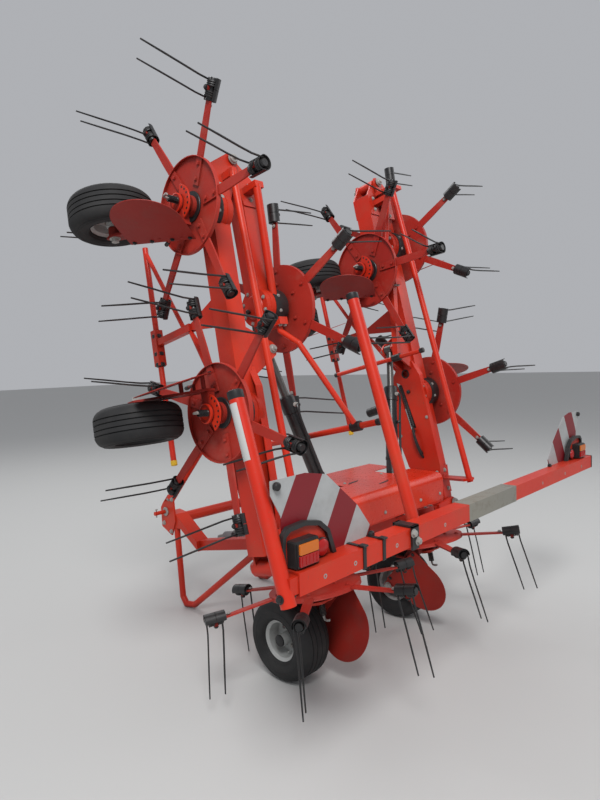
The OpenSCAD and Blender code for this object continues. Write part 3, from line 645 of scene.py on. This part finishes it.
def pin_head(sh, x, y, h, out, r):
    """Round head, washer and locking bolt of a hinge pin that faces out along y."""
    place = outward(x, y, h, out)
    sh.use(STEEL)
    sh.lathe([(r + 5, 0), (r + 5, 4), (r, 4), (r, 14), (r - 4, 18), (6, 18)], 32, place=place)
    sh.bolt(place @ move(0, 0, 18), BOLT_10)


GUARD_CLAMP = [(27, -12), (30, -9), (30, 9), (27, 12), (17, 12), (17, -12)]
YELLOW_CAP = [(18.5, -26), (19.5, -22), (19.5, 2), (15, 6), (4, 7)]
GROMMET = [(24, -3), (28, -3), (32, 0), (31, 3), (26, 4), (24, 2)]
FRONT_GUARD_Y = 690
COVER_TOP = 211
COVER_BOLTS = ((1060, -60), (1080, 95), (1350, 170), (1700, 125), (1830, -30), (1450, -75))
HOSE_ENDS = (1712, 86, 200), (1402, 50, 209)
HOSE_RIBS = 44
SHORT_HOSE = ((1400, 48, 205), (1392, 46, 224), (1368, 40, 240), (1330, 34, 246),
              (1280, 30, 240), (1230, 26, 228), (1206, 24, 214), (1200, 24, 204))


def wing_fittings(s):
    hx, hh = OUTER_HINGE[s]
    sh = Shape(WING[s])
    for i in (2, 3):
        gearcase_fittings(sh, rotor_x(i))
        leg_fittings(sh, i)
    for out in (-1, 1):
        pin_head(sh, hx, out * 96, hh, out, 24)
        pin_head(sh, HINGE_X + LIFT_EYE_X, out * 45, HINGE_H + LIFT_EYE_H, out, 20)
        for x, y in ((930, 71), (1000, 71), (1060, 71), (hx - 240, 88), (hx - 170, 88)):
            sh.bolt(outward(x, out * y, BEAM_H, out), BOLT_12)
    # clamps and end cap of the front guard
    sh.use(PLASTIC)
    for x in (2040, 2105, 2215):
        sh.lathe(GUARD_CLAMP, 24, True, sideways(x, FRONT_GUARD_Y, BEAM_H))
    sh.use(YELLOW)
    sh.lathe(YELLOW_CAP, 20, place=sideways(1431.3, FRONT_GUARD_Y, BEAM_H, -1))
    # grommet and bolts of the cover, and its hoses
    sh.use(PLASTIC)
    sh.lathe(GROMMET, 28, True, move(1780, 20, COVER_TOP))
    sh.use(STEEL)
    for x, y in COVER_BOLTS:
        sh.bolt(move(x, y, COVER_TOP), BOLT_9)
    sh.use(PLASTIC)
    a, b = (Vector(p) for p in HOSE_ENDS)
    sh.tube([a.lerp(b, k / HOSE_RIBS) for k in range(HOSE_RIBS + 1)],
            [16.5 if k % 2 else 13.5 for k in range(HOSE_RIBS + 1)], 14)
    for off in (0, 26):
        sh.tube([(x - off, y, z) for x, y, z in SHORT_HOSE], 9, 10)
    sh.done("wing_fittings_" + s, "wing_" + s)


# End guards: place of the tube, its foot's and ends' y, and the profiles of clamp and cap
END_GUARD = {
    "l": (745, -72, -340, (-500, 400),
          [(22, -34), (27, -30), (27, 30), (22, 34), (17, 34), (17, -34)],
          [(18, -22), (19, -18), (19, 3), (14, 6), (4, 6.5)]),
    "r": (638, RIGHT_GUARD_H, -90, (-300, 460),
          [(19, -34), (24, -30), (24, 30), (19, 34), (15, 34), (15, -34)],
          [(16, -22), (17, -18), (17, 3), (12, 6), (4, 6.5)])}


def outer_fittings(s):
    hx, last = OUTER_HINGE[s][0], rotor_x(4)
    sh = Shape(OUTER[s])
    gearcase_fittings(sh, last)
    leg_fittings(sh, 4)
    guard_x, guard_h, foot_y, (low_y, high_y), clamp, cap = END_GUARD[s]
    sh.use(PLASTIC)
    sh.lathe(clamp, 24, True, backward(last + guard_x, foot_y, guard_h))
    for y, out in ((low_y, -1), (high_y, 1)):
        sh.lathe(cap, 20, place=outward(last + guard_x, y, guard_h, out))
    sh.use(STEEL)
    for y in (-125, 45):
        for z in (103, 137):
            sh.bolt(sideways(last + 130, y, z), BOLT_10)
    for out in (-1, 1):
        for x in (hx + 120, hx + 200):
            sh.bolt(outward(x, out * 67, BEAM_H, out), BOLT_10)
    sh.done("outer_fittings_" + s, "outer_" + s)


for s in "lr":
    wing_fittings(s)
    outer_fittings(s)

# Centre frame: gearcases, hinge pins, and bolts of the gearbox lid
for s in "lr":
    sh = Shape(HALF[s])
    gearcase_fittings(sh, rotor_x(1))
    leg_fittings(sh, 1)
    for out in (-1, 1):
        pin_head(sh, HINGE_X, out * 114, HINGE_H, out, 28)
        pin_head(sh, LIFT_FOOT[0], out * 44, LIFT_FOOT[2], out, 19)
    for y in (120, 240, 360):
        sh.bolt(move(330, y, 210), BOLT_9)
    sh.done("frame_fittings_" + s, "frame")

# Lift cylinders: gland, weld collar, ports, and a pressure hose on its clips
GLAND = [(40, 700), (46, 704), (46, 786), (43, 798), (34, 800), (24, 800), (24, 796), (36, 786),
         (39, 700)]
WELD_COLLAR = [(39, 50), (43, 52), (43, 74), (40, 80), (38, 76)]
PORT = [(14, -8), (14, 6), (11, 8), (11, 18), (8, 20), (3, 20)]
LOW_PORT, HIGH_PORT = 92, 742
PRESSURE_HOSE = [(0, -62, 742), (6, -66, 735), (14, -66, 712), (16, -62, 660), (16, -58, 560),
                 (16, -56, 420), (16, -56, 280), (14, -60, 170), (8, -66, 122), (0, -66, 100),
                 (0, -58, 92)]
HOSE_CLIP = [(12, -8), (14, -6), (14, 6), (12, 8)]
fold = math.radians(-WING_FOLD)
eye_x = HINGE_X + LIFT_EYE_X * math.cos(fold) + LIFT_EYE_H * math.sin(fold)
eye_h = HINGE_H - LIFT_EYE_X * math.sin(fold) + LIFT_EYE_H * math.cos(fold)
lean = 90 - math.degrees(math.atan2(eye_h - LIFT_FOOT[2], eye_x - LIFT_FOOT[0]))
for s in "lr":
    sh = Shape(HALF[s] @ move(*LIFT_FOOT) @ spin(lean, "Y"))
    sh.use(CYLINDER)
    sh.lathe(GLAND, 40, True)
    sh.lathe(WELD_COLLAR, 40, True)
    sh.use(STEEL)
    for z in (LOW_PORT, HIGH_PORT):
        sh.lathe(PORT, 16, place=backward(0, -44, z))
    sh.use(PLASTIC)
    sh.tube(PRESSURE_HOSE, 8, 10)
    for z in (300, 540):
        sh.lathe([(40, z), (43.5, z + 2), (43.5, z + 18), (40, z + 20)], 40, True)
        sh.lathe(HOSE_CLIP, 16, place=move(10, -54, z + 10))
    sh.done("cylinder_fittings_" + s, "lift_barrel_" + s)

# Light bar: end cap, straps, clamp, sleeve, reflecting strip and covers of the guard tubes
BAR_Y, BAR_H = -720, 1020
GUARD_R = 28
GUARD_TUBES = (((-1470, -745, 953), (-1470, -510, 1668)), ((-590, -676, 1000), (-590, -345, 2080)))
FOOT_BOLT = [(16, -1), (16, 3), (11, 4), (10, 12), (7, 14)]
RIVET = [(9, -1), (9, 0.8), (5, 0.8), (4.5, -3)]
sh = Shape(LEVEL)
sh.use(PLASTIC)
for x0, x1, half in ((1492, 1504, 42), (-1084, -1066, 44), (-959, -941, 44)):
    sh.box((x0, BAR_Y - half, BAR_H - half), (x1, BAR_Y + half, BAR_H + half), 3)
for x in (-1075, -950):
    sh.box((x - 14, -770, 1062), (x + 14, -740, 1070), 2)
for y0, y1, z0 in ((-770, -760, 968), (-680, -670, 968), (-770, -670, 1060)):
    sh.box((-760, y0, z0), (-712, y1, 1072), 2)
sh.use(STEEL)
for x, z in ((-720, 1000), (-752, 1040)):
    sh.bolt(backward(x, -770, z), CLAMP_BOLT)
sh.use(SLEEVE)
sh.rings([[(x, BAR_Y + q * c, BAR_H + q * d) for c, d in ((-1, -1), (1, -1), (1, 1), (-1, 1))]
          for x, q in ((-252, 40.6), (-248, 42.2), (271, 42.2), (275, 40.6))])
sh.use(PLASTIC)
for ends in GUARD_TUBES:
    a, b = (Vector(p) for p in ends)
    d = (b - a).normalized()
    sh.tube([b - d * 26, b - d * 23, b + d * 3, b + d * 8],
            [GUARD_R + 0.6, GUARD_R + 1.8, GUARD_R + 1.8, GUARD_R - 8], 28)
for out in (-1, 1):
    sh.lathe(FOOT_BOLT, 20, place=sideways(-1470 + out * (GUARD_R - 0.5), -734, 985, out))
# the strip lies on the outer side of the end tube
a, b = (Vector(p) for p in GUARD_TUBES[0])
d = (b - a).normalized()
top = a + d * 712
away = Vector((-1, 0, 0))
across = d.cross(away)
arc = [math.radians(w) for w in range(-42, 43, 12)]
sh.use(REFLECTING)
sh.rings([[top - d * down + (away * math.cos(w) + across * math.sin(w)) * q
           for w, q in band(arc, GUARD_R + lift, GUARD_R - 0.5)]
          for down, lift in ((0, 0.3), (3, 1.0), (203, 1.0), (206, 0.3))])
sh.use(STEEL)
for x in (-1300, -1130, -860, -480, 200, 640, 1000, 1300):
    sh.lathe(RIVET, 16, place=backward(x, BAR_Y - 40, 1014))
sh.done("light_bar_fittings", "frame")

# Rear lamps: black housing with an amber and a ribbed red lens, and a round reflector
REFLECTOR = [(30, -6), (32, -2), (30, 4), (22, 9), (8, 12)]
REFLECTOR_RIM = [(31, -8), (35, -6), (35, 0), (32, 2)]
LENS_RIBS, RIB_STEP = 5, 18
lamp = Shape(LEVEL)
for sx in (-1, 1):
    lamp.at(mirror(sx))
    lamp.use(PLASTIC)
    lamp.box((1306, -738, 1062), (1424, -695, 1158), 5)
    lamp.box((1312, -744, 1066), (1418, -736, 1154), 2)
    lamp.use(AMBER)
    lamp.box((1318, -750, 1112), (1412, -741, 1149), 3)
    lamp.use(LENS)
    lamp.box((1318, -750, 1071), (1412, -741, 1109), 3)
    for k in range(LENS_RIBS):
        x = 1322 + RIB_STEP * k
        lamp.box((x, -751.5, 1075), (x + 8, -749.5, 1105), 0.8)
    spot = backward(1258, -712, 1098)
    lamp.lathe(REFLECTOR, 32, place=spot)
    lamp.use(PLASTIC)
    lamp.lathe(REFLECTOR_RIM, 32, True, spot)
lamp.done("rear_lamp_units", "frame", "rear_lamps")

# Lamp brackets: red plate inside a rubber arch, and the rubber buffers of the panels
ARCH_OUT = [(1452, 1062), (1458, 1130), (1452, 1182), (1424, 1206), (1340, 1212), (1262, 1196),
            (1214, 1156), (1180, 1062)]
ARCH_IN = [(1438, 1062), (1443, 1128), (1438, 1174), (1416, 1190), (1340, 1195), (1270, 1180),
           (1230, 1146), (1200, 1062)]
BUFFER = [(13, 0), (15, 3), (15, 14), (10, 18), (3, 18)]
sh = Shape(LEVEL)
for sx in (-1, 1):
    sh.at(mirror(sx) @ spin(90, "X"))
    sh.use(RED)
    sh.prism(ARCH_IN, 694, 698)
    sh.use(PLASTIC)
    for k in range(len(ARCH_OUT) - 1):
        quad = [ARCH_OUT[k], ARCH_OUT[k + 1], ARCH_IN[k + 1], ARCH_IN[k]]
        sh.prism(quad, 690, 712)
    sh.at(mirror(sx))
    for x, z in ((1452, 1350), (935, 1064)):
        sh.lathe(BUFFER, 20, place=backward(x, -680, z))
sh.done("lamp_brackets", "frame")

# Hood: thin black sheets painted as the shade in its slots, screws and folded edge
SLOT_SHADES = (((-182, 40), (-150, 52), (-90, 60), (-60, 66)),
         ((-70, -96), (-30, -92), (20, -84), (60, -70)))
SLOT_LOW, SLOT_HIGH = 1049.2, 1051
HOOD_LIP = ((-214, 884), (-218, 884), (-218, 880), (-203, 880), (-203, 883), (-214, 883))
sh = Shape(LEVEL)
sh.use(PLASTIC)
# painted shade: thin black sheets on the hood's top where its slots are
for slot in SLOT_SHADES:
    sh.rings([[(x, y - t, SLOT_LOW), (x, y + t, SLOT_LOW), (x, y + t, SLOT_HIGH),
               (x, y - t, SLOT_HIGH)] for (x, y), t in zip(slot, (2, 8, 8, 2))])
sh.use(STEEL)
for x in (-400, -180, 180, 400):
    sh.bolt(backward(x, -215, 925), BOLT_8)
for x in (-180, 180):
    sh.bolt(move(x, 70, 1050), BOLT_8)
sh.use(RED)
sh.rings([[(x, y, z) for y, z in HOOD_LIP] for x in (-440, 440)])
sh.done("hood_fittings", "frame")

# Input shaft: ribbed guard cones and the splines of its stub
REAR_CONE = [(36, 232), (60, 236), (62, 250), (52, 256), (54, 268), (44, 274), (46, 286),
             (36, 292), (38, 304), (28, 310), (25, 316), (25, 230)]
FRONT_CONE = [(25, 1230), (34, 1236), (46, 1262), (48, 1300), (43, 1306), (41, 1310), (25, 1310)]
sh = Shape(RAKED)
forward_frame = outward(0, 0, HINGE_H, 1)
sh.at(forward_frame)
sh.use(PLASTIC)
sh.lathe(REAR_CONE, 36, True)
sh.lathe(FRONT_CONE, 36, True)
sh.use(STEEL)
for k in range(6):
    sh.at(forward_frame @ spin(60 * k, "Z"))
    sh.box((15.6, -3.4, 1422), (18.6, 3.4, 1506), 0.8)
sh.done("shaft_fittings", "frame")

# Headstock: bushes and lynch pins of the lower links, and the nuts of the parking stand
LINK_X = 412.5
BUSH = [(14.2, 0), (30, 0), (32, 3), (32, 9), (28, 12), (14.2, 12)]
LYNCH_PIN = [(4, -30), (5, -28), (5, 24), (9, 26), (9, 32), (3, 34)]
sh = Shape(LEVEL)
sh.use(STEEL)
for sx in (-1, 1):
    sh.at(mirror(sx))
    sh.lathe(BUSH, 28, True, sideways(LINK_X, 1600, 700))
    sh.lathe(LYNCH_PIN, 14, place=move(496, 1600, 700))
    for y, z in ((1520, 800), (1560, 800), (1540, 560), (1630, 610)):
        sh.bolt(sideways(LINK_X, y, z), STAND_NUT)
sh.done("linkage_fittings", "frame")

# Floor, world and lights
FLOOR_SIZE = 60
floor_mesh = bpy.data.meshes.new("floor")
bm = bmesh.new()
bmesh.ops.create_grid(bm, x_segments=1, y_segments=1, size=FLOOR_SIZE)
bm.to_mesh(floor_mesh)
bm.free()
floor = bpy.data.objects.new("floor", floor_mesh)
bpy.context.scene.collection.objects.link(floor)
floor.data.materials.append(Nodes("floor_pale").set(Base_Color=(0.52, 0.52, 0.51), Roughness=0.9))

world = bpy.data.worlds.new("studio")
bpy.context.scene.world = world
world.use_nodes = True
background = world.node_tree.nodes["Background"]
background.inputs["Color"].default_value = (0.93, 0.95, 1.0, 1)
background.inputs["Strength"].default_value = 0.46


def area(name, place, target, size, energy):
    """Round soft light at place that looks at target."""
    d = bpy.data.lights.new(name, "AREA")
    d.shape = "DISK"
    d.size = size
    d.energy = energy
    o = bpy.data.objects.new(name, d)
    bpy.context.scene.collection.objects.link(o)
    o.location = place
    o.rotation_mode = "QUATERNION"
    o.rotation_quaternion = (Vector(target) - Vector(place)).to_track_quat("-Z", "Y")


area("key", (-5, -5, 8), (0, 0, 1.2), 3, 700)
area("fill", (6, -3, 5), (0, 0, 1.2), 6, 110)
area("back", (1, 7, 8), (0, 0, 1.5), 5, 260)
bpy.context.scene.view_settings.view_transform = "Standard"
